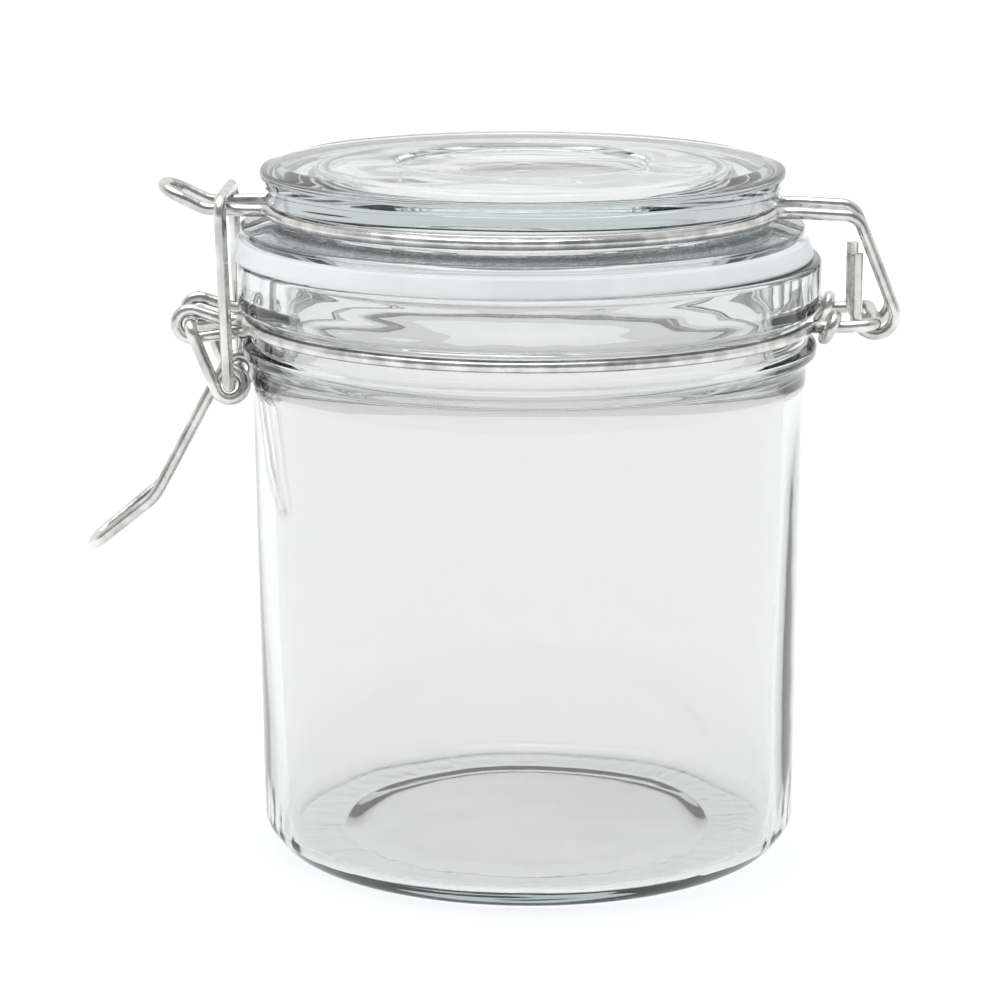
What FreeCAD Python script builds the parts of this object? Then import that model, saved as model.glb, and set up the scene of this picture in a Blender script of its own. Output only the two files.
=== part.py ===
import FreeCAD, Part
import math
import os

import Sketcher

# A clip-top storage jar: glass jar, glass lid, sealing gasket and a closure of four bent
# wires.  Millimetres.  The jar stands on z = 0 with its axis on Z.  The clasp is on -X and
# the hinge is on +X, and the closure is shut.

V = FreeCAD.Vector

# ---------------------------------------------------------------- driving sizes
SIZES = [
    # glass jar
    ("jar_height", 103.2, "foot to rim"),
    ("neck_radius", 50.0, "outside of the neck band"),
    ("bead_inset", 0.6, "neck band to bead, radially"),
    ("body_inset", 2.3, "neck band to the body at the shoulder, radially"),
    ("body_draft", 1.3, "how far the body draws in down to the heel"),
    ("heel_width", 3.2, "heel to the ring it stands on, radially"),
    ("stand_width", 10.7, "width of the ring it stands on"),
    ("punt_slope", 4.0, "width of the slope from that ring up to the punt"),
    ("punt_height", 0.7, "rise of the middle of the underside"),
    ("heel_height", 4.0, "height of the heel"),
    ("floor_height", 3.4, "inside floor above the table"),
    ("body_wall", 3.9, "glass thickness of the body"),
    ("neck_wall", 8.2, "neck band to the bore of the mouth, radially"),
    ("band_depth", 8.4, "rim to the lower edge of the neck band"),
    ("groove_lip", 1.0, "height of the slope into the wire groove"),
    ("groove_height", 5.0, "straight height of the wire groove"),
    ("groove_depth", 2.45, "neck band to groove bottom, radially"),
    ("bead_slope", 0.4, "height of the slope from groove to bead"),
    ("bead_height", 1.5, "straight height of the bead"),
    ("shoulder_drop", 1.5, "height of the slope from bead to body"),
    ("mouth_depth", 15.0, "rim to the end of the bore"),
    ("mouth_flare", 7.0, "height over which the bore widens to the body"),
    ("inside_round", 5.0, "rounding where the bore starts to widen and where it ends"),
    ("floor_round", 1.5, "rounding round the inside floor"),
    ("shoulder_round", 1.5, "rounding of the shoulder"),
    ("heel_round", 3.5, "rounding of the heel"),
    ("band_round", 0.9, "rounding of the neck band's edges"),
    ("glass_round", 0.6, "rounding of the jar's other edges above the body"),
    ("punt_round", 1.5, "rounding of the punt's edges"),
    # glass lid
    ("lid_shift", 1.2, "how far the lid sits towards the clasp"),
    ("lid_height", 12.6, "flange underside to top"),
    ("plug_play", 2.3, "mouth to plug, radially, so that the lid can swing out"),
    ("plug_depth", 3.0, "how far the plug reaches below the rim"),
    ("plug_wall", 3.6, "thickness of the skirt round the recess"),
    ("plug_taper", 0.7, "draft of the recess, radially"),
    ("plate_thickness", 6.2, "glass between the recess and the top"),
    ("flange_inset", 1.7, "neck band to the flange, radially"),
    ("flange_draft", 0.7, "how far the flange draws in below"),
    ("flange_thickness", 1.9, "height of the flange"),
    ("flange_fall", 1.35, "height of the slope from wire groove to flange"),
    ("lid_groove_depth", 6.3, "flange to the bottom of the lid's wire groove, radially"),
    ("lid_groove_height", 2.8, "height of the lid's wire groove"),
    ("side_step", 1.8, "bottom of the groove to the side above it, radially"),
    ("side_flare", 0.4, "how far the side widens upwards"),
    ("side_height", 3.2, "height of the side"),
    ("crown_lip", 0.7, "how far the top edge stands out from the side"),
    ("crown_slope", 1.2, "height of the slope under the top edge"),
    ("crown_edge", 1.1, "straight height of the top edge"),
    ("crown_width", 3.6, "width of the rounded top edge"),
    ("dish_radius", 21.2, "shallow dish in the middle of the top"),
    ("dish_depth", 0.6, "depth of that dish"),
    ("recess_round", 2.5, "rounding of the top of the recess"),
    ("plug_round", 0.8, "rounding of the plug's rim and of the top's edge"),
    ("lid_round", 0.5, "rounding of the groove's foot and of the side's top"),
    ("step_round", 0.35, "rounding of the lid's small steps"),
    # gasket
    ("seat_gap", 0.05, "rim to gasket"),
    ("gasket_height", 3.4, "thickness"),
    ("gasket_overhang", 0.3, "neck band to the outside of the gasket, radially"),
    ("gasket_draft", 1.3, "how far the outside draws in upwards"),
    ("gasket_play", 0.4, "plug to gasket, radially"),
    ("gasket_round", 0.6, "rounding of the gasket's outer edges"),
    # wire
    ("gauge", 2.1, "diameter of all the wire"),
    ("wire_fit", 0.15, "groove bottom to wire"),
    ("wire_gap", 0.3, "between wires that pass each other"),
    ("pivot_gap", 0.35, "pin to eye, radially"),
    ("rest_gap", 0.1, "between wires that rest on each other"),
    ("stop_gap", 0.15, "curl to glass when the lever is shut"),
    ("pin_overhang", 0.9, "how far a pin passes through its eye"),
    # neck wire
    ("neck_wire_drop", 10.8, "rim to the neck wire"),
    ("cross_drop", 2.4, "neck wire to its short run between the eyes"),
    ("strand_bend", 3.0, "bend where a strand leaves a ring"),
    ("butt_gap", 0.5, "between the ends of the neck wire"),
    ("eye_reach", 8.9, "neck wire to the middle of the eyes"),
    ("eye_drop", 0.7, "neck wire down to the middle of the eyes"),
    ("eye_spread", 6.6, "middle of the jar to each eye"),
    ("hinge_reach", 10.15, "neck wire to the hinge bar"),
    ("hinge_rise", 0.45, "neck wire up to the hinge bar"),
    ("hasp_spread", 10.0, "middle of the jar to each hasp strand"),
    ("hasp_bend", 2.4, "bend at the ends of the hinge bar"),
    ("wrap_radius", 2.15, "middle of the wrap wire to the strand"),
    ("wrap_reach", 2.3, "neck wire to the wrap"),
    ("wrap_tilt", -25.0, "degrees from square"),
    # lid wire
    ("lid_wire_rise", 4.65, "flange underside to the lid wire"),
    ("tongue_spread", 6.9, "middle to each tongue strand at the lid"),
    ("tongue_waist", 5.0, "middle to each tongue strand at its bend"),
    ("tongue_run", 3.2, "bail to the bend of the tongue"),
    ("tongue_tip", 10.5, "bail to the tip of the tongue"),
    ("tongue_rise", 3.5, "height of the tip above the strands"),
    ("tip_bend", 3.9, "bend at the tip of the tongue"),
    ("arm_spread", 6.7, "middle to each hinge arm"),
    ("arm_back", 3.2, "hinge bar to the knee of the arms"),
    ("knee_drop", 0.5, "lid wire down to the knee"),
    ("knee_bend", 3.2, "bend at the knee"),
    ("hook_radius", 3.3, "middle of the hook to its wire"),
    ("stub_height", 10.5, "height of the hook's free end above its middle"),
    # lever
    ("curl_drop", 10.2, "eyes down to the middle of the curls"),
    ("pin_bend", 1.6, "bend of the pins"),
    ("handle_out", 13.5, "curls out to the bend of the handle"),
    ("handle_drop", 20.1, "curls down to the bend of the handle"),
    ("grip_out", 11.6, "bend of the handle out to its tip"),
    ("grip_drop", 9.5, "bend of the handle down to its tip"),
    ("grip_spread", 4.0, "middle to the corner of the grip"),
    ("handle_bend", 9.0, "bend of the handle"),
    ("grip_bend", 3.4, "bend at the corners of the grip"),
    # bail
    ("bail_lean", 1.1, "how far the bail leans out at the top"),
    ("bail_waist", 11.0, "middle to the corner of the bail"),
    ("bail_bend", 2.8, "bend at the corners of the bail"),
    ("bail_pin_bend", 1.8, "bend of the bail's pins"),
]

doc = FreeCAD.newDocument("ClipTopJar")
sheet = doc.addObject("Spreadsheet::Sheet", "Sizes")
for row, (alias, number, meaning) in enumerate(SIZES, 1):
    sheet.set("A%d" % row, alias)
    sheet.set("B%d" % row, str(number))
    sheet.set("C%d" % row, meaning)
    sheet.setAlias("B%d" % row, alias)
doc.recompute()


def size(name):
    return float(getattr(sheet, name))


def value(terms):
    """The number that a sum of aliases stands for, such as 'jar_height - gauge/2'."""
    total, sign = 0.0, 1.0
    for word in terms.split():
        if word in "+-":
            sign = -1.0 if word == "-" else 1.0
            continue
        name, _, share = word.partition("/")
        amount = 0.0 if name == "0" else size(name)
        total += sign * amount / float(share or 1)
    return total


def formula(terms):
    """The same sum as an expression on the sheet."""
    words = []
    for word in terms.split():
        plain = word in "+-" or word == "0"
        words.append(word if plain else "Sizes." + word)
    return " ".join(words)


# ---------------------------------------------------------------- turned pieces
def role_plane(body, role):
    return [f for f in body.Origin.OriginFeatures if f.Role == role][0]


def turned(name, profile, rounds):
    """A body of revolution about Z.  profile holds (radius, height) sums, and rounds holds
    (name of the fillet's radius, numbers of the profile's corners)."""
    body = doc.addObject("PartDesign::Body", name)
    body.Label = name
    sketch = body.newObject("Sketcher::SketchObject", name + "_profile")
    sketch.AttachmentSupport = [(role_plane(body, "XZ_Plane"), "")]
    sketch.MapMode = "FlatFace"
    corners = [V(value(r), value(z), 0) for r, z in profile]
    count = len(corners)
    for i in range(count):
        sketch.addGeometry(Part.LineSegment(corners[i], corners[(i + 1) % count]), False)
    for i in range(count):
        sketch.addConstraint(
            Sketcher.Constraint("Coincident", i, 2, (i + 1) % count, 1))
    for i, (r, z) in enumerate(profile):
        for kind, terms in (("DistanceX", r), ("DistanceY", z)):
            if terms == "0":
                on = -2 if kind == "DistanceX" else -1
                sketch.addConstraint(Sketcher.Constraint("PointOnObject", i, 1, on))
                continue
            number = sketch.addConstraint(
                Sketcher.Constraint(kind, -1, 1, i, 1, value(terms)))
            sketch.setExpression("Constraints[%d]" % number, formula(terms))
    turn = body.newObject("PartDesign::Revolution", name + "_turn")
    turn.Profile = sketch
    turn.ReferenceAxis = (sketch, ["V_Axis"])
    turn.Angle = 360.0
    sketch.Visibility = False
    doc.recompute()
    last = turn
    for radius, numbers in rounds:
        edges = [corner_edge(last, corners[i]) for i in numbers]
        fillet = body.newObject("PartDesign::Fillet", name + "_" + radius)
        fillet.Base = (last, edges)
        fillet.setExpression("Radius", "Sizes." + radius)
        doc.recompute()
        last = fillet
    body.Tip = last
    return body


def corner_edge(feature, corner):
    """The circular edge of a turned feature at a profile corner."""
    for number, edge in enumerate(feature.Shape.Edges, 1):
        curve = edge.Curve
        if not isinstance(curve, Part.Circle):
            continue
        if abs(curve.Radius - corner.x) < 1e-4 and abs(curve.Center.z - corner.y) < 1e-4:
            return "Edge%d" % number
    raise ValueError("no edge at %s of %s" % (corner, feature.Name))


def place(piece, x="0", z="0"):
    """Puts a piece at sums of sizes along X and Z."""
    piece.Placement = FreeCAD.Placement(V(value(x), 0, value(z)), FreeCAD.Rotation())
    for axis, terms in (("x", x), ("z", z)):
        if terms != "0":
            piece.setExpression(".Placement.Base." + axis, formula(terms))


BAND = "jar_height - band_depth"
GROOVE_TOP = BAND + " - groove_lip"
GROOVE_LOW = GROOVE_TOP + " - groove_height"
BEAD_TOP = GROOVE_LOW + " - bead_slope"
BEAD_LOW = BEAD_TOP + " - bead_height"
BODY = "neck_radius - body_inset"
FOOT = BODY + " - body_draft"
STAND = FOOT + " - heel_width"
MOUTH = "neck_radius - neck_wall"
GROOVE_RADIUS = "neck_radius - groove_depth"
BEAD_RADIUS = "neck_radius - bead_inset"
MOUTH_LOW = "jar_height - mouth_depth"

jar = turned("jar_glass", [
    ("0", "punt_height"),
    (STAND + " - stand_width - punt_slope", "punt_height"),
    (STAND + " - stand_width", "0"),
    (STAND, "0"),
    (FOOT, "heel_height"),
    (BODY, BEAD_LOW + " - shoulder_drop"),
    (BEAD_RADIUS, BEAD_LOW),
    (BEAD_RADIUS, BEAD_TOP),
    (GROOVE_RADIUS, GROOVE_LOW),
    (GROOVE_RADIUS, GROOVE_TOP),
    ("neck_radius", BAND),
    ("neck_radius", "jar_height"),
    (MOUTH, "jar_height"),
    (MOUTH, MOUTH_LOW),
    (BODY + " - body_wall", MOUTH_LOW + " - mouth_flare"),
    (FOOT + " - body_wall", "floor_height"),
    ("0", "floor_height"),
], [
    ("inside_round", [13, 14]),
    ("floor_round", [15]),
    ("shoulder_round", [5]),
    ("heel_round", [3, 4]),
    ("band_round", [11, 10]),
    ("glass_round", [6, 7, 8, 9, 12]),
    ("punt_round", [1, 2]),
])

SEAT = "plug_depth + seat_gap + gasket_height"
FLANGE_TOP = SEAT + " + flange_thickness"
LID_GROOVE_LOW = FLANGE_TOP + " + flange_fall"
LID_GROOVE_TOP = LID_GROOVE_LOW + " + lid_groove_height"
SIDE_TOP = LID_GROOVE_TOP + " + side_height"
CROWN_LOW = SIDE_TOP + " + crown_slope"
CROWN_TOP = CROWN_LOW + " + crown_edge"
LID_TOP = SEAT + " + lid_height"
PLUG = MOUTH + " - plug_play"
FLANGE = "neck_radius - flange_inset"
LID_GROOVE = FLANGE + " - lid_groove_depth"
SIDE = LID_GROOVE + " + side_step"
CROWN = SIDE + " + side_flare + crown_lip"

lid = turned("lid_glass", [
    ("0", LID_TOP + " - plate_thickness"),
    (PLUG + " - plug_wall - plug_taper", LID_TOP + " - plate_thickness"),
    (PLUG + " - plug_wall", "0"),
    (PLUG, "0"),
    (PLUG, SEAT),
    (FLANGE + " - flange_draft", SEAT),
    (FLANGE, FLANGE_TOP + " - flange_thickness/2"),
    (FLANGE, FLANGE_TOP),
    (LID_GROOVE, LID_GROOVE_LOW),
    (LID_GROOVE, LID_GROOVE_TOP),
    (SIDE, LID_GROOVE_TOP),
    (SIDE + " + side_flare", SIDE_TOP),
    (CROWN, CROWN_LOW),
    (CROWN, CROWN_TOP),
    (CROWN + " - crown_width", LID_TOP),
    ("dish_radius + dish_depth", LID_TOP),
    ("dish_radius", LID_TOP + " - dish_depth"),
    ("0", LID_TOP + " - dish_depth"),
], [
    ("recess_round", [1]),
    ("plug_round", [2, 3, 13, 14]),
    ("lid_round", [8, 9, 12, 11]),
    ("step_round", [5, 6, 7, 10, 15, 16]),
])
place(lid, "0 - lid_shift", "jar_height - plug_depth")

GASKET = "neck_radius + gasket_overhang"

gasket = turned("gasket", [
    (PLUG + " + gasket_play", "0"),
    (GASKET, "0"),
    (GASKET + " - gasket_draft", "gasket_height"),
    (PLUG + " + gasket_play", "gasket_height"),
], [
    ("gasket_round", [1, 2]),
])
place(gasket, "0 - lid_shift", "jar_height + seat_gap")

# ---------------------------------------------------------------- wire paths
GAUGE = size("gauge")
PIVOT = GAUGE + size("pivot_gap")
NECK_RING = value(GROOVE_RADIUS + " + wire_fit + gauge/2")
LID_RING = value(LID_GROOVE + " + wire_fit + gauge/2")
NECK_Z = value("jar_height - neck_wire_drop")
LID_X = -size("lid_shift")
LID_Z = value("jar_height + seat_gap + gasket_height + lid_wire_rise")

# side view of the closure: eyes, curls, crossbar of the bail and hinge bar, as (x, z)
LEVER_SPREAD = size("eye_spread") + GAUGE + size("wire_gap")
HANDLE_SPREAD = LEVER_SPREAD - GAUGE - size("wire_gap")
BAIL_SPREAD = LEVER_SPREAD + GAUGE + size("wire_gap")
EYE = (-(NECK_RING + size("eye_reach")), NECK_Z - size("eye_drop"))
GLASS_AT_CURL = math.sqrt(value(BODY) ** 2 - HANDLE_SPREAD ** 2)
CURL = (-(GLASS_AT_CURL + size("stop_gap") + GAUGE / 2 + PIVOT),
        EYE[1] - size("curl_drop"))
BAR = (CURL[0] - size("bail_lean"), LID_Z + GAUGE + size("rest_gap"))
HINGE = (NECK_RING + size("hinge_reach"), NECK_Z + size("hinge_rise"))
HOOK = (HINGE[0], HINGE[1] + size("hook_radius") - GAUGE - size("rest_gap"))


def at(spot, y):
    """A point of the side view at a given y."""
    return V(spot[0], y, spot[1])


def bend(before, corner, after, radius):
    """The arc that rounds a corner of a path, as its three points."""
    back = (before - corner).normalize()
    ahead = (after - corner).normalize()
    half = back.getAngle(ahead) / 2
    reach = radius / math.tan(half)
    inward = (back + ahead).normalize()
    middle = corner + inward * (radius / math.sin(half) - radius)
    return corner + back * reach, middle, corner + ahead * reach


def path(items):
    """Straight runs joined by arcs.  An item is an end point, a (corner, radius) pair, or
    three points of an arc that is tangent to its neighbours."""
    edges = []
    here = items[0]
    for i, item in enumerate(items[1:], 1):
        if isinstance(item, V):
            arc = (item,)
        elif len(item) == 2:
            follower = items[i + 1]
            after = follower if isinstance(follower, V) else follower[0]
            arc = bend(here, item[0], after, item[1])
        else:
            arc = item
        if here.distanceToPoint(arc[0]) > 1e-5:
            edges.append(Part.LineSegment(here, arc[0]).toShape())
        if len(arc) == 3:
            edges.append(Part.Arc(*arc).toShape())
        here = arc[-1]
    return edges


def mirrored(items):
    """The same run on the other side of the jar, in the opposite order."""
    def flip(point):
        return V(point.x, -point.y, point.z)

    other = []
    for item in reversed(items):
        if isinstance(item, V):
            other.append(flip(item))
        elif len(item) == 2:
            other.append((flip(item[0]), item[1]))
        else:
            other.append(tuple(flip(p) for p in reversed(item)))
    return other


def leave_ring(ring, spread, side, z, inner=False, shift=0.0):
    """The arc from a ring about Z into a strand along X at y = -spread.  With inner, the
    arc turns towards the middle instead."""
    radius = size("strand_bend")
    middle_y = -(spread - radius) if inner else -(spread + radius)
    middle_x = side * math.sqrt((ring + radius) ** 2 - middle_y ** 2)
    centre = V(middle_x, middle_y, 0)
    on_ring = centre * (ring / (ring + radius))
    on_strand = V(middle_x, -spread, 0)
    way = ((on_ring - centre) + (on_strand - centre)).normalize()
    points = (on_ring, centre + way * radius, on_strand)
    return tuple(p + V(shift, 0, z) for p in points)


def touch(start, centre, radius, turn):
    """The angle on a circle in the side view where a line from start touches it.  turn is
    1 for a line that goes on anticlockwise and -1 for clockwise, seen from -Y."""
    dx, dz = centre[0] - start[0], centre[1] - start[1]
    away = math.hypot(dx, dz)
    heading = math.atan2(dz, dx) - turn * math.asin(radius / away)
    return heading - turn * math.pi / 2


def round_arc(centre, radius, first, last, y):
    """Three points of an arc in the side view, from one angle to another."""
    spots = []
    for angle in (first, (first + last) / 2, last):
        spots.append((centre[0] + radius * math.cos(angle),
                      centre[1] + radius * math.sin(angle)))
    return tuple(at(spot, y) for spot in spots)


def around(centre, radius, start, finish, turn, y):
    """The arc of a wire that comes from start, goes round a circle and leaves to finish."""
    first = touch(start, centre, radius, turn)
    last = touch(finish, centre, radius, -turn)
    sweep = (turn * (last - first)) % (2 * math.pi)
    return round_arc(centre, radius, first, first + turn * sweep, y)


def curl(centre, radius, start, finish, y_start, y_finish):
    """One anticlockwise turn that also crosses from one y to another, as short arcs."""
    first = touch(start, centre, radius, 1)
    last = touch(finish, centre, radius, -1)
    sweep = (last - first) % (2 * math.pi)
    points = []
    steps = 24
    for i in range(steps + 1):
        share = i / steps
        ease = share * share * (3 - 2 * share)
        angle = first + sweep * share
        spot = (centre[0] + radius * math.cos(angle), centre[1] + radius * math.sin(angle))
        points.append(at(spot, y_start + (y_finish - y_start) * ease))
    return [tuple(points[i:i + 3]) for i in range(0, steps, 2)]


def bent_wire(name, items):
    """A round wire swept along a path."""
    edges = path(items)
    spine = doc.addObject("Part::Feature", name + "_path")
    spine.Shape = Part.Wire(edges)
    start = edges[0].Vertexes[0].Point
    heading = edges[0].tangentAt(edges[0].FirstParameter)
    section = doc.addObject("Part::Circle", name + "_section")
    section.setExpression("Radius", "Sizes.gauge / 2")
    section.Placement = FreeCAD.Placement(start, FreeCAD.Rotation(V(0, 0, 1), heading))
    wire = doc.addObject("Part::Sweep", name)
    wire.Label = name
    wire.Sections = [section]
    wire.Spine = (spine, ["Edge%d" % (i + 1) for i in range(len(edges))])
    wire.Solid = True
    doc.recompute()
    for edge, following in zip(edges, edges[1:]):
        out = edge.tangentAt(edge.LastParameter)
        if out.getAngle(following.tangentAt(following.FirstParameter)) > 0.02:
            raise ValueError("%s has a kink at %s" % (name, following.Vertexes[0].Point))
    length = sum(edge.Length for edge in edges)
    wanted = length * math.pi * GAUGE ** 2 / 4
    found = wire.Shape.Volume
    print("%s: %.1f mm of wire, volume %.2f of %.2f" % (name, length, found, wanted))
    if abs(found / wanted - 1) > 0.01:
        raise ValueError(name + " didn't sweep")
    return wire


# ---------------------------------------------------------------- neck wire
def neck_half():
    """From the butt joint between the eyes to the middle of the hinge bar, at -Y."""
    spread = size("eye_spread")
    low = NECK_Z - size("cross_drop")
    turn_in = leave_ring(NECK_RING, spread, -1, low, inner=True)
    turn_out = leave_ring(NECK_RING, spread, -1, NECK_Z)
    lower = (turn_in[2].x - GAUGE / 2, low)
    upper = (turn_out[2].x - GAUGE / 2, NECK_Z)
    start = V(-NECK_RING, 0, low)
    start.y = -size("butt_gap") / 2
    start.x = -math.sqrt(NECK_RING ** 2 - start.y ** 2)
    middle = V(0, 0, low)
    half = (start - middle) + (turn_in[0] - middle)
    butt = (start, middle + half.normalize() * NECK_RING, turn_in[0])
    eye = around(EYE, PIVOT, lower, upper, -1, -spread)
    out = leave_ring(NECK_RING, size("hasp_spread"), 1, NECK_Z)
    rise = V(HINGE[0] - size("hinge_reach") / 2, -size("hasp_spread"), NECK_Z)
    return [
        start, butt, turn_in, (at(lower, -spread), 2 * GAUGE), eye,
        (at(upper, -spread), 2 * GAUGE), turn_out[::-1],
        (turn_out[0], V(0, -NECK_RING, NECK_Z), out[0]), out,
        (rise, 3 * GAUGE), (at(HINGE, -size("hasp_spread")), size("hasp_bend")),
    ]


first_half = neck_half()
neck_sweep = bent_wire("neck_wire_sweep", first_half + mirrored(first_half))
wraps = []
for side, tag in ((-1, "near"), (1, "far")):
    wrap = doc.addObject("Part::Torus", "wrap_" + tag)
    wrap.setExpression("Radius1", "Sizes.wrap_radius")
    wrap.setExpression("Radius2", "Sizes.gauge / 2")
    spot = V(NECK_RING + size("wrap_reach"), side * size("hasp_spread"), NECK_Z)
    lean = FreeCAD.Rotation(V(0, 1, 0), 90 - size("wrap_tilt"))
    wrap.Placement = FreeCAD.Placement(spot, lean)
    wraps.append(wrap)
neck_wire = doc.addObject("Part::MultiFuse", "neck_wire")
neck_wire.Label = "neck_wire"
neck_wire.Shapes = [neck_sweep] + wraps
doc.recompute()
apart = neck_sweep.Shape.Volume + sum(wrap.Shape.Volume for wrap in wraps)
print("neck_wire: volume %.1f, its pieces apart %.1f" % (neck_wire.Shape.Volume, apart))
if neck_wire.Shape.Volume < apart - 0.5 * sum(wrap.Shape.Volume for wrap in wraps):
    raise ValueError("the wraps didn't join the neck wire")


# ---------------------------------------------------------------- lid wire
def lid_half():
    """From the tip of the tongue to the free end of the hook, at -Y."""
    ring_in = leave_ring(LID_RING, size("tongue_spread"), -1, LID_Z, shift=LID_X)
    ring_out = leave_ring(LID_RING, size("arm_spread"), 1, LID_Z, shift=LID_X)
    waist = size("tongue_waist")
    tip = V(BAR[0] - size("tongue_tip"), 0, LID_Z + size("tongue_rise"))
    corner = tip + V(0, -waist, 0)
    dip = V(BAR[0] - size("tongue_run"), -waist, LID_Z)
    flare = ring_in[2] - V(GAUGE / 2, 0, 0)
    knee = V(HINGE[0] - size("arm_back"), -size("arm_spread"), LID_Z - size("knee_drop"))
    leave = V(ring_out[2].x + GAUGE, -size("arm_spread"), LID_Z)
    stub = (HOOK[0] - size("hook_radius"), HOOK[1] + size("stub_height"))
    knee_spot = (knee.x, knee.z)
    hook = around(HOOK, size("hook_radius"), knee_spot, stub, -1, -size("arm_spread"))
    return [
        tip, (corner, size("tip_bend")), (dip, 2 * GAUGE),
        (flare, 2 * GAUGE), ring_in[::-1],
        (ring_in[0], V(LID_X, -LID_RING, LID_Z), ring_out[0]), ring_out,
        (leave, 4 * GAUGE), (knee, size("knee_bend")), hook, at(stub, -size("arm_spread")),
    ]


first_half = lid_half()
lid_wire = bent_wire("lid_wire", mirrored(first_half)[:-1] + first_half[1:])


# ---------------------------------------------------------------- lever and bail
PIN_END = size("eye_spread") - GAUGE / 2 - size("pin_overhang")


def lever_half():
    """From the free end of the pin to the middle of the grip, at -Y."""
    elbow = (CURL[0] - size("handle_out"), CURL[1] - size("handle_drop"))
    grip = (elbow[0] - size("grip_out"), elbow[1] - size("grip_drop"))
    turn = curl(CURL, PIVOT, EYE, elbow, -LEVER_SPREAD, -HANDLE_SPREAD)
    return [
        at(EYE, -PIN_END), (at(EYE, -LEVER_SPREAD), size("pin_bend")),
    ] + turn + [
        (at(elbow, -HANDLE_SPREAD), size("handle_bend")),
        (at(grip, -size("grip_spread")), size("grip_bend")),
    ]


def bail_half():
    """From the free end of the pin to the corner of the bail, at -Y."""
    return [
        at(CURL, -PIN_END), (at(CURL, -BAIL_SPREAD), size("bail_pin_bend")),
        (at(BAR, -size("bail_waist")), size("bail_bend")),
    ]


first_half = lever_half()
lever = bent_wire("lever", first_half + mirrored(first_half))
first_half = bail_half()
bail = bent_wire("bail", first_half + mirrored(first_half))

# ---------------------------------------------------------------- check and write
doc.recompute()
for item in doc.Objects:
    if "Invalid" in item.State or "Error" in item.State:
        raise ValueError("%s failed: %s" % (item.Name, item.State))
PIECES = [jar, lid, gasket, neck_wire, lid_wire, lever, bail]
for piece in PIECES:
    shape = piece.Shape
    if shape.isNull() or not shape.isValid():
        raise ValueError(piece.Label + " has no valid shape")
    if len(shape.Solids) != 1:
        raise ValueError(piece.Label + " isn't one solid")
os.makedirs("parts", exist_ok=True)
for piece in PIECES:
    piece.Shape.exportStep("parts/%s.step" % piece.Label)
    box = piece.Shape.BoundBox
    print("%-10s volume %9.1f  x %.2f..%.2f  y %.2f..%.2f  z %.2f..%.2f" % (
        piece.Label, piece.Shape.Volume, box.XMin, box.XMax, box.YMin, box.YMax,
        box.ZMin, box.ZMax))
for tag, spot in (("eye", EYE), ("curl", CURL), ("bar", BAR), ("hinge", HINGE)):
    print("%-6s x %.3f z %.3f" % (tag, spot[0], spot[1]))
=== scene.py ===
import math

import bmesh
import bpy
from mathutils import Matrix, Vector, noise


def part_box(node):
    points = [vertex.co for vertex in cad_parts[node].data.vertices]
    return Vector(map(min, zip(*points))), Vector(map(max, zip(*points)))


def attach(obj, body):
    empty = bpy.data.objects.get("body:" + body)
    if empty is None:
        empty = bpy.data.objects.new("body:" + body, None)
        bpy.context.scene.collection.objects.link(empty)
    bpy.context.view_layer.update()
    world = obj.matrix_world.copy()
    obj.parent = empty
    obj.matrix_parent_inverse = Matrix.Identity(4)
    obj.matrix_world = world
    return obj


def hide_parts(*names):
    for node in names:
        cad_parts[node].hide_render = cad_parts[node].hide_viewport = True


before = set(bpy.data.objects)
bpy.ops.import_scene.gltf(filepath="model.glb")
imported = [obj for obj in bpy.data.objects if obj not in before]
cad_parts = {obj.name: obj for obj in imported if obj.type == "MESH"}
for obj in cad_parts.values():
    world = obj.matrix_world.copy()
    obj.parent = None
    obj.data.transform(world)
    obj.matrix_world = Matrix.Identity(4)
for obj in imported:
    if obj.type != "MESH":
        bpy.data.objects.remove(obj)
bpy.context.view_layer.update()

# The looks of a clip-top storage jar: pressed glass with a slightly uneven inside, a rubber
# gasket and plated wire.  Metres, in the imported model's own frame.

MM = 0.001
TINY = 1e-7                     # shorter than any real length here, in metres

# ---------------------------------------------------------------- places from the frame
JAR_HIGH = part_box("jar_glass")[1]
LID_LOW, LID_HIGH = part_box("lid_glass")
GASKET_LOW, GASKET_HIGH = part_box("gasket")

RIM = JAR_HIGH.z                # mouth of the jar
NECK = JAR_HIGH.y               # outside of the neck band
LID_X = (LID_LOW.x + LID_HIGH.x) / 2    # the lid sits a little towards the clasp
FLANGE = LID_HIGH.y             # outside of the lid's flange
TOP = LID_HIGH.z                # top of the lid
SEAT = GASKET_HIGH.z            # underside of the lid's flange


# ---------------------------------------------------------------- turned shapes
ARC_STEP = 12                   # degrees between the points of a rounding
STRAIGHT = math.radians(89)     # half angle from which a corner counts as straight
SIDES = 288


def fillet(before, corner, after, radius):
    """Points of the arc that rounds a corner of an outline."""
    back = (before - corner).normalized()
    ahead = (after - corner).normalized()
    half = math.acos(max(-1.0, min(1.0, back.dot(ahead)))) / 2
    if radius <= 0 or half > STRAIGHT:
        return [corner]
    reach = radius / math.tan(half)
    centre = corner + (back + ahead).normalized() * (radius / math.sin(half))
    first = corner + back * reach - centre
    start = math.atan2(first.y, first.x)
    left_turn = back.x * ahead.y - back.y * ahead.x < 0
    sweep = (math.pi - 2 * half) * (1 if left_turn else -1)
    steps = max(2, round(abs(math.degrees(sweep)) / ARC_STEP))
    points = []
    for i in range(steps + 1):
        angle = start + sweep * i / steps
        points.append(centre + Vector((math.cos(angle), math.sin(angle))) * radius)
    return points


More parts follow.
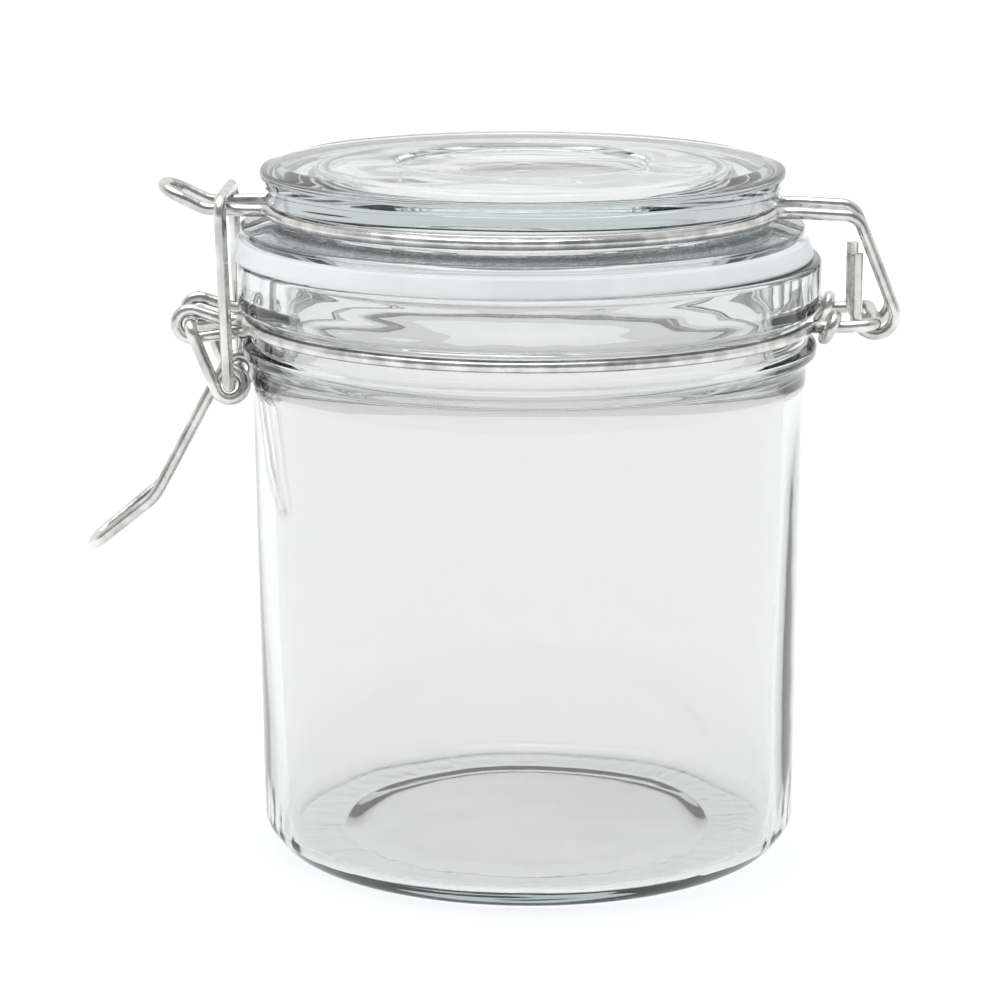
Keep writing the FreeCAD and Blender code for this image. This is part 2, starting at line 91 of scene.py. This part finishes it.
def outline(corners, step):
    """An outline from (radius, height, rounding) corners, with no run longer than step."""
    spots = [Vector((r, z)) for r, z, _ in corners]
    points = [spots[0]]
    for i in range(1, len(corners) - 1):
        points += fillet(spots[i - 1], spots[i], spots[i + 1], corners[i][2])
    points.append(spots[-1])
    fine = [points[0]]
    for point in points[1:]:
        run = (point - fine[-1]).length
        if run < TINY:
            continue
        pieces = max(1, math.ceil(run / step))
        start = fine[-1]
        for i in range(1, pieces + 1):
            fine.append(start.lerp(point, i / pieces))
    return [(p.x, p.y) for p in fine]


def turned(name, points, centre_x=0.0, uneven=None):
    """A closed body of revolution.  An outline that starts and ends on the axis is closed
    there, and any other is closed on itself.  uneven(angle, radius, height) gives how far a
    point moves outwards and upwards."""
    work = bmesh.new()
    rings = []
    on_axis = points[0][0] < TINY
    for radius, height in points:
        if radius < TINY:
            rings.append([work.verts.new((centre_x, 0, height))])
            continue
        ring = []
        for k in range(SIDES):
            angle = 2 * math.pi * k / SIDES
            out, rise = uneven(angle, radius, height) if uneven else (0.0, 0.0)
            r = radius + out
            ring.append(work.verts.new(
                (centre_x + r * math.cos(angle), r * math.sin(angle), height + rise)))
        rings.append(ring)
    pairs = list(zip(rings, rings[1:]))
    if not on_axis:
        pairs.append((rings[-1], rings[0]))
    for low, high in pairs:
        for k in range(SIDES):
            j = (k + 1) % SIDES
            if len(low) == 1:
                work.faces.new((low[0], high[j], high[k]))
            elif len(high) == 1:
                work.faces.new((low[k], low[j], high[0]))
            else:
                work.faces.new((low[k], low[j], high[j], high[k]))
    bmesh.ops.recalc_face_normals(work, faces=work.faces)
    for face in work.faces:
        face.smooth = True
    mesh = bpy.data.meshes.new(name)
    work.to_mesh(mesh)
    work.free()
    piece = bpy.data.objects.new(name, mesh)
    bpy.context.scene.collection.objects.link(piece)
    return piece


def swell(kind, angle, radius, height):
    """Smooth noise over a turned surface.  A kind is the width of its swells across, their
    length upwards, where its noise starts, and how far it moves the surface either way."""
    across, up, seed, reach = kind
    return reach * noise.noise(Vector((
        radius * math.cos(angle) / across,
        radius * math.sin(angle) / across,
        height / up + seed)))


def fade(value, low, high):
    """0 below low, 1 above high, smooth between."""
    share = max(0.0, min(1.0, (value - low) / (high - low)))
    return share * share * (3 - 2 * share)


# ---------------------------------------------------------------- glass jar
BODY = NECK - 2.3 * MM          # outside of the body at the shoulder
FOOT = NECK - 3.6 * MM          # outside of the body at the heel
STAND = NECK - 6.8 * MM         # outer edge of the ring it stands on
PUNT_EDGE = STAND - 10.7 * MM   # inner edge of that ring
PUNT_SLOPE = 4.0 * MM
PUNT = 0.7 * MM
HEEL_HEIGHT = 4.0 * MM
FLOOR = 3.4 * MM
WALL = 3.9 * MM
MOUTH = NECK - 8.2 * MM
MOUTH_LOW = RIM - 15.0 * MM
MOUTH_FLARE = 7.0 * MM
BAND_LOW = RIM - 8.4 * MM
GROOVE = NECK - 2.45 * MM
GROOVE_TOP = BAND_LOW - 1.0 * MM
GROOVE_LOW = GROOVE_TOP - 5.0 * MM
BEAD = NECK - 0.6 * MM
BEAD_TOP = GROOVE_LOW - 0.4 * MM
BEAD_LOW = BEAD_TOP - 1.5 * MM
SHOULDER_DROP = 1.5 * MM

PUNT_ROUND, PUNT_EDGE_ROUND = 12 * MM, 6 * MM
HEEL_ROUND, SHOULDER_ROUND = 3.5 * MM, 1.5 * MM
FLOOR_ROUND, INSIDE_ROUND = 1.5 * MM, 5.0 * MM
BAND_ROUND, GLASS_ROUND = 0.9 * MM, 0.6 * MM
JAR_STEP = 1.1 * MM             # longest run of the jar's outline

# kinds of swell: across, upwards, start of the noise, reach
TALL = (17 * MM, 60 * MM, 3.1, 0.25 * MM)           # inside of the body
LEVEL = (32 * MM, 2.6 * MM, 8.4, 0.16 * MM)         # bore of the neck
FINE = (5 * MM, 1.5 * MM, 15.2, 0.03 * MM)          # the same, smaller
SHORT = (2.6 * MM, 9 * MM, 12.3, 0.20 * MM)         # wall just above the floor
FLOOR_ROLL = (13 * MM, 30 * MM, 5.7, 0.10 * MM)     # inside floor
PUNT_ROLL = (12 * MM, 30 * MM, 1.3, 0.06 * MM)      # middle of the underside
MARKS = (1.2 * MM, 4 * MM, 4.4, 0.05 * MM)          # stipple of the ring it stands on
OUTSIDE = (22 * MM, 80 * MM, 6.2, 0.08 * MM)        # outside of the body

# where the swells start and stop
BODY_END = (BEAD_LOW - 14 * MM, BEAD_LOW - 3 * MM)
NECK_START = (MOUTH_LOW - 5 * MM, MOUTH_LOW + 2 * MM)
CORNER_END = (FLOOR + 1 * MM, FLOOR + 9 * MM)
WALL_START = (FOOT - WALL - 3.0 * MM, FOOT - WALL)
INSIDE_HIGH = RIM - 0.5 * MM
INSIDE_LOW = FLOOR - 0.1 * MM
INSIDE_EDGE = BODY - 2.5 * MM   # inside the wall, between its two faces
PUNT_HIGH = PUNT + 0.1 * MM
MARKS_EDGE = STAND - 1.7 * MM
MARKS_HIGH = 0.01 * MM
MARKS_LIFT = 0.07 * MM          # keeps the marks off the table


def jar_unevenness(angle, radius, height):
    """The outside keeps the mould's form.  The inside rolls: in long upright swells in the
    body, in level ripples in the neck, and in short ones round the floor.  The ring it
    stands on has stipple marks."""
    here = (angle, radius, height)
    on_body = 1 - fade(height, *BODY_END)
    if INSIDE_LOW < height < INSIDE_HIGH and radius < INSIDE_EDGE:
        in_neck = fade(height, *NECK_START)
        in_corner = 1 - fade(height, *CORNER_END)
        on_wall = fade(radius, *WALL_START)
        out = (swell(TALL, *here) * on_body
               + (swell(LEVEL, *here) + swell(FINE, *here)) * in_neck
               + swell(SHORT, *here) * in_corner)
        return out * on_wall, swell(FLOOR_ROLL, *here) * (1 - on_wall)
    if height < PUNT_HIGH and radius < PUNT_EDGE - PUNT_SLOPE:
        return 0.0, swell(PUNT_ROLL, *here)
    if height < MARKS_HIGH and PUNT_EDGE < radius < MARKS_EDGE:
        return 0.0, MARKS_LIFT + swell(MARKS, angle, STAND, radius)
    if height < HEEL_HEIGHT:
        return 0.0, 0.0
    return swell(OUTSIDE, *here) * on_body, 0.0


def make_jar():
    corners = [
        (0, PUNT, 0),
        (PUNT_EDGE - PUNT_SLOPE, PUNT, PUNT_ROUND),
        (PUNT_EDGE, 0, PUNT_EDGE_ROUND),
        (STAND, 0, HEEL_ROUND),
        (FOOT, HEEL_HEIGHT, HEEL_ROUND),
        (BODY, BEAD_LOW - SHOULDER_DROP, SHOULDER_ROUND),
        (BEAD, BEAD_LOW, GLASS_ROUND),
        (BEAD, BEAD_TOP, GLASS_ROUND),
        (GROOVE, GROOVE_LOW, GLASS_ROUND),
        (GROOVE, GROOVE_TOP, GLASS_ROUND),
        (NECK, BAND_LOW, BAND_ROUND),
        (NECK, RIM, BAND_ROUND),
        (MOUTH, RIM, GLASS_ROUND),
        (MOUTH, MOUTH_LOW, INSIDE_ROUND),
        (BODY - WALL, MOUTH_LOW - MOUTH_FLARE, INSIDE_ROUND),
        (FOOT - WALL, FLOOR, FLOOR_ROUND),
        (0, FLOOR, 0),
    ]
    piece = turned("jar_glass_look", outline(corners, JAR_STEP), uneven=jar_unevenness)
    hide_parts("jar_glass")
    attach(piece, "jar")
    return piece


# ---------------------------------------------------------------- glass lid
PLUG = MOUTH - 2.3 * MM
PLUG_LOW = RIM - 3.0 * MM
SKIRT = 3.6 * MM                # thickness of the plug round the recess
RECESS_DRAFT = 0.7 * MM
FLANGE_TOP = SEAT + 1.9 * MM
FLANGE_EDGE = 0.95 * MM         # straight height of the flange's edge
FLANGE_DRAFT = 0.7 * MM
LID_GROOVE = FLANGE - 6.3 * MM
LID_GROOVE_LOW = FLANGE_TOP + 1.35 * MM
LID_GROOVE_TOP = LID_GROOVE_LOW + 2.8 * MM
SIDE = FLANGE - 4.5 * MM
SIDE_TOP = LID_GROOVE_TOP + 3.2 * MM
SIDE_FLARE = 0.4 * MM
CROWN = SIDE + 1.1 * MM
CROWN_WIDTH = 3.6 * MM
CROWN_LOW = SIDE_TOP + 1.2 * MM
CROWN_TOP = CROWN_LOW + 1.1 * MM
DISH = 21.2 * MM
DISH_DEPTH = 0.6 * MM
PLATE = 6.2 * MM

RECESS_ROUND, PLUG_ROUND = 2.5 * MM, 0.8 * MM
LID_ROUND, STEP_ROUND = 0.5 * MM, 0.35 * MM
LID_STEP = 1.2 * MM             # longest run of the lid's outline

PLATE_ROLL = (16 * MM, 30 * MM, 2.2, 0.10 * MM)     # underside of the plate
RECESS_LEVEL = (22 * MM, 2.2 * MM, 9.1, 0.14 * MM)  # side of the recess
TOP_ROLL = (16 * MM, 40 * MM, 7.7, 0.05 * MM)       # top of the lid
SIDE_LEVEL = (26 * MM, 2.0 * MM, 4.9, 0.06 * MM)    # side of the lid
RECESS_HIGH = TOP - PLATE + 0.5 * MM
RECESS_EDGE = PLUG - 0.5 * MM
TOP_LOW = TOP - 0.9 * MM


def lid_unevenness(angle, radius, height):
    """The underside of the plate and the recess roll a little.  The outside rolls less, and
    only inwards."""
    here = (angle, radius, height)
    if height < RECESS_HIGH and radius < RECESS_EDGE:
        return swell(RECESS_LEVEL, *here), swell(PLATE_ROLL, *here)
    if height > TOP_LOW:
        return 0.0, swell(TOP_ROLL, *here) - TOP_ROLL[-1]
    return swell(SIDE_LEVEL, *here) - SIDE_LEVEL[-1], 0.0


def make_lid():
    corners = [
        (0, TOP - PLATE, 0),
        (PLUG - SKIRT - RECESS_DRAFT, TOP - PLATE, RECESS_ROUND),
        (PLUG - SKIRT, PLUG_LOW, PLUG_ROUND),
        (PLUG, PLUG_LOW, PLUG_ROUND),
        (PLUG, SEAT, 0),
        (FLANGE - FLANGE_DRAFT, SEAT, STEP_ROUND),
        (FLANGE, FLANGE_TOP - FLANGE_EDGE, STEP_ROUND),
        (FLANGE, FLANGE_TOP, STEP_ROUND),
        (LID_GROOVE, LID_GROOVE_LOW, LID_ROUND),
        (LID_GROOVE, LID_GROOVE_TOP, LID_ROUND),
        (SIDE, LID_GROOVE_TOP, STEP_ROUND),
        (SIDE + SIDE_FLARE, SIDE_TOP, LID_ROUND),
        (CROWN, CROWN_LOW, LID_ROUND),
        (CROWN, CROWN_TOP, PLUG_ROUND),
        (CROWN - CROWN_WIDTH, TOP, PLUG_ROUND),
        (DISH + DISH_DEPTH, TOP, STEP_ROUND),
        (DISH, TOP - DISH_DEPTH, STEP_ROUND),
        (0, TOP - DISH_DEPTH, 0),
    ]
    piece = turned("lid_glass_look", outline(corners, LID_STEP), LID_X, lid_unevenness)
    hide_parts("lid_glass")
    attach(piece, "lid")
    return piece


# ---------------------------------------------------------------- gasket
GASKET_PLAY = 0.4 * MM          # plug to gasket
GASKET_DRAFT = 1.3 * MM
BORE_ROUND, GASKET_ROUND = 0.4 * MM, 0.6 * MM
GASKET_STEP = 1.0 * MM          # longest run of the gasket's outline


def make_gasket():
    low, high = GASKET_LOW.z, GASKET_HIGH.z
    inner, outer = PLUG + GASKET_PLAY, GASKET_HIGH.y
    middle = (inner, (low + high) / 2, 0)
    corners = [
        middle,
        (inner, low, BORE_ROUND),
        (outer, low, GASKET_ROUND),
        (outer - GASKET_DRAFT, high, GASKET_ROUND),
        (inner, high, BORE_ROUND),
        middle,
    ]
    piece = turned("gasket_look", outline(corners, GASKET_STEP)[:-1], LID_X)
    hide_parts("gasket")
    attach(piece, "lid")
    return piece


# ---------------------------------------------------------------- materials
def new_material(name):
    """A node material, with its tree, its main shader and its output."""
    material = bpy.data.materials.new(name)
    material.use_nodes = True
    tree = material.node_tree
    return material, tree, tree.nodes["Principled BSDF"], tree.nodes["Material Output"]


def object_noise(tree, scale, detail=2.0, stretch=(1, 1, 1)):
    """A noise texture in the frame's metres.  Scale is in cells per metre."""
    where = tree.nodes.new("ShaderNodeTexCoord")
    spread = tree.nodes.new("ShaderNodeMapping")
    spread.inputs["Scale"].default_value = stretch
    grain = tree.nodes.new("ShaderNodeTexNoise")
    grain.inputs["Scale"].default_value = scale
    grain.inputs["Detail"].default_value = detail
    tree.links.new(where.outputs["Object"], spread.inputs["Vector"])
    tree.links.new(spread.outputs["Vector"], grain.inputs["Vector"])
    return grain


def ranged(tree, source, taken, given=(0.0, 1.0)):
    """Maps the taken range of a value to the given one."""
    span = tree.nodes.new("ShaderNodeMapRange")
    span.inputs["From Min"].default_value = taken[0]
    span.inputs["From Max"].default_value = taken[1]
    span.inputs["To Min"].default_value = given[0]
    span.inputs["To Max"].default_value = given[1]
    tree.links.new(source, span.inputs["Value"])
    return span.outputs["Result"]


def coloured(tree, source, target, first, last):
    """Colours a value by a ramp between two (position, colour) stops."""
    node = tree.nodes.new("ShaderNodeValToRGB")
    for stop, (position, colour) in zip(node.color_ramp.elements, (first, last)):
        stop.position = position
        stop.color = (*colour, 1)
    tree.links.new(source, node.inputs["Fac"])
    tree.links.new(node.outputs["Color"], target)
    return node.color_ramp


def bumped(tree, shader, grain, depth):
    """Gives a surface the fine relief of a noise, depth metres deep."""
    bump = tree.nodes.new("ShaderNodeBump")
    bump.inputs["Distance"].default_value = depth
    tree.links.new(grain.outputs["Fac"], bump.inputs["Height"])
    tree.links.new(bump.outputs["Normal"], shader.inputs["Normal"])


MIDDLE = (0.3, 0.7)             # the part of a noise's range that it mostly takes
GLASS_INDEX, RUBBER_INDEX = 1.51, 1.42


def glass(name, body, tint, density):
    """Clear glass that is tinted by its depth.  Lamps reach what is behind it."""
    material, tree, shader, out = new_material(name)
    shader.inputs["Base Color"].default_value = (*body, 1)
    shader.inputs["Transmission Weight"].default_value = 1.0
    shader.inputs["IOR"].default_value = GLASS_INDEX
    shader.inputs["Roughness"].default_value = 0.0
    ripples = object_noise(tree, 60, 1.0, (0.5, 0.5, 2.0))
    bumped(tree, shader, ripples, 0.02 * MM)
    clear = tree.nodes.new("ShaderNodeBsdfTransparent")
    clear.inputs["Color"].default_value = (1, 1, 1, 1)
    rays = tree.nodes.new("ShaderNodeLightPath")
    mix = tree.nodes.new("ShaderNodeMixShader")
    tree.links.new(rays.outputs["Is Shadow Ray"], mix.inputs["Fac"])
    tree.links.new(shader.outputs["BSDF"], mix.inputs[1])
    tree.links.new(clear.outputs["BSDF"], mix.inputs[2])
    tree.links.new(mix.outputs["Shader"], out.inputs["Surface"])
    depth = tree.nodes.new("ShaderNodeVolumeAbsorption")
    depth.inputs["Color"].default_value = (*tint, 1)
    depth.inputs["Density"].default_value = density
    tree.links.new(depth.outputs["Volume"], out.inputs["Volume"])
    return material


def rubber():
    """Pale rubber with a soft sheen and fine moulding marks."""
    material, tree, shader, _ = new_material("gasket_rubber")
    cloud = object_noise(tree, 90, 3.0).outputs["Fac"]
    coloured(tree, cloud, shader.inputs["Base Color"],
             (0.35, (0.74, 0.768, 0.785)), (0.68, (0.80, 0.825, 0.845)))
    shader.inputs["IOR"].default_value = RUBBER_INDEX
    sheen = ranged(tree, cloud, MIDDLE, (0.30, 0.44))
    tree.links.new(sheen, shader.inputs["Roughness"])
    bumped(tree, shader, object_noise(tree, 1500), 0.01 * MM)
    return material


def plated_wire():
    """Bright zinc plate over drawn wire, a little uneven and dulled in places."""
    material, tree, shader, _ = new_material("plated_wire")
    cloud = object_noise(tree, 260, 4.0).outputs["Fac"]
    coloured(tree, cloud, shader.inputs["Base Color"],
             (0.35, (0.50, 0.495, 0.48)), (0.65, (0.80, 0.79, 0.765)))
    shader.inputs["Metallic"].default_value = 1.0
    sheen = ranged(tree, cloud, MIDDLE, (0.16, 0.30))
    tree.links.new(sheen, shader.inputs["Roughness"])
    bumped(tree, shader, object_noise(tree, 900), 0.04 * MM)
    return material


def dress(piece, material):
    """Gives a piece one material, and smooth shading."""
    piece.data.materials.clear()
    piece.data.materials.append(material)
    for face in piece.data.polygons:
        face.use_smooth = True


# ---------------------------------------------------------------- stage, light and camera
def make_floor():
    """A pale floor, wide enough that its edge is out of sight."""
    half = 40.0
    mesh = bpy.data.meshes.new("floor")
    mesh.from_pydata(
        [(-half, -half, 0), (half, -half, 0), (half, half, 0), (-half, half, 0)], [],
        [(0, 1, 2, 3)])
    floor = bpy.data.objects.new("floor", mesh)
    bpy.context.scene.collection.objects.link(floor)
    material, _, shader, _ = new_material("pale_floor")
    shader.inputs["Base Color"].default_value = (0.93, 0.93, 0.93, 1)
    shader.inputs["Roughness"].default_value = 0.9
    mesh.materials.append(material)


def make_world():
    """A pale studio: brightest behind the jar, and darker towards the front."""
    world = bpy.data.worlds.new("studio")
    world.use_nodes = True
    tree = world.node_tree
    back = tree.nodes["Background"]
    where = tree.nodes.new("ShaderNodeTexCoord")
    parts = tree.nodes.new("ShaderNodeSeparateXYZ")
    tree.links.new(where.outputs["Generated"], parts.inputs["Vector"])
    depth = ranged(tree, parts.outputs["Y"], (-1.0, 1.0))
    ramp = coloured(tree, depth, back.inputs["Color"],
                    (0.10, (0.30, 0.325, 0.34)), (0.62, (1, 1, 1)))
    ramp.interpolation = "EASE"
    back.inputs["Strength"].default_value = 0.95
    world.cycles.sampling_method = "NONE"
    bpy.context.scene.world = world


def make_sun():
    """One broad soft lamp overhead, a little in front and to the left."""
    data = bpy.data.lights.new("overhead", "SUN")
    data.energy = 1.9
    data.angle = math.radians(60)
    lamp = bpy.data.objects.new("overhead", data)
    lamp.rotation_euler = (math.radians(8), math.radians(-10), 0)
    bpy.context.scene.collection.objects.link(lamp)


def make_camera():
    """A long lens, a little above the lid and almost square to the closure."""
    look_down, turn = math.radians(12.55), math.radians(2.0)
    data = bpy.data.cameras.new("camera")
    data.sensor_width = 36.0
    data.lens = 136.44
    camera = bpy.data.objects.new("camera", data)
    camera.location = (0.01740, -0.64278, 0.203)
    camera.rotation_euler = (math.pi / 2 - look_down, 0, turn)
    bpy.context.scene.collection.objects.link(camera)
    bpy.context.scene.camera = camera


# ---------------------------------------------------------------- put together
dress(make_jar(), glass("jar_glass_clear", body=(0.842, 0.833, 0.831),
                        tint=(0.66, 0.77, 0.78), density=20.0))
dress(make_lid(), glass("lid_glass_clear", body=(0.945, 0.944, 0.943),
                        tint=(0.78, 0.825, 0.83), density=26.0))
dress(make_gasket(), rubber())
wire = plated_wire()
for node in ("neck_wire", "lid_wire", "lever", "bail"):
    dress(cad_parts[node], wire)

make_floor()
make_world()
make_sun()
make_camera()
bpy.context.scene.view_settings.view_transform = "Standard"
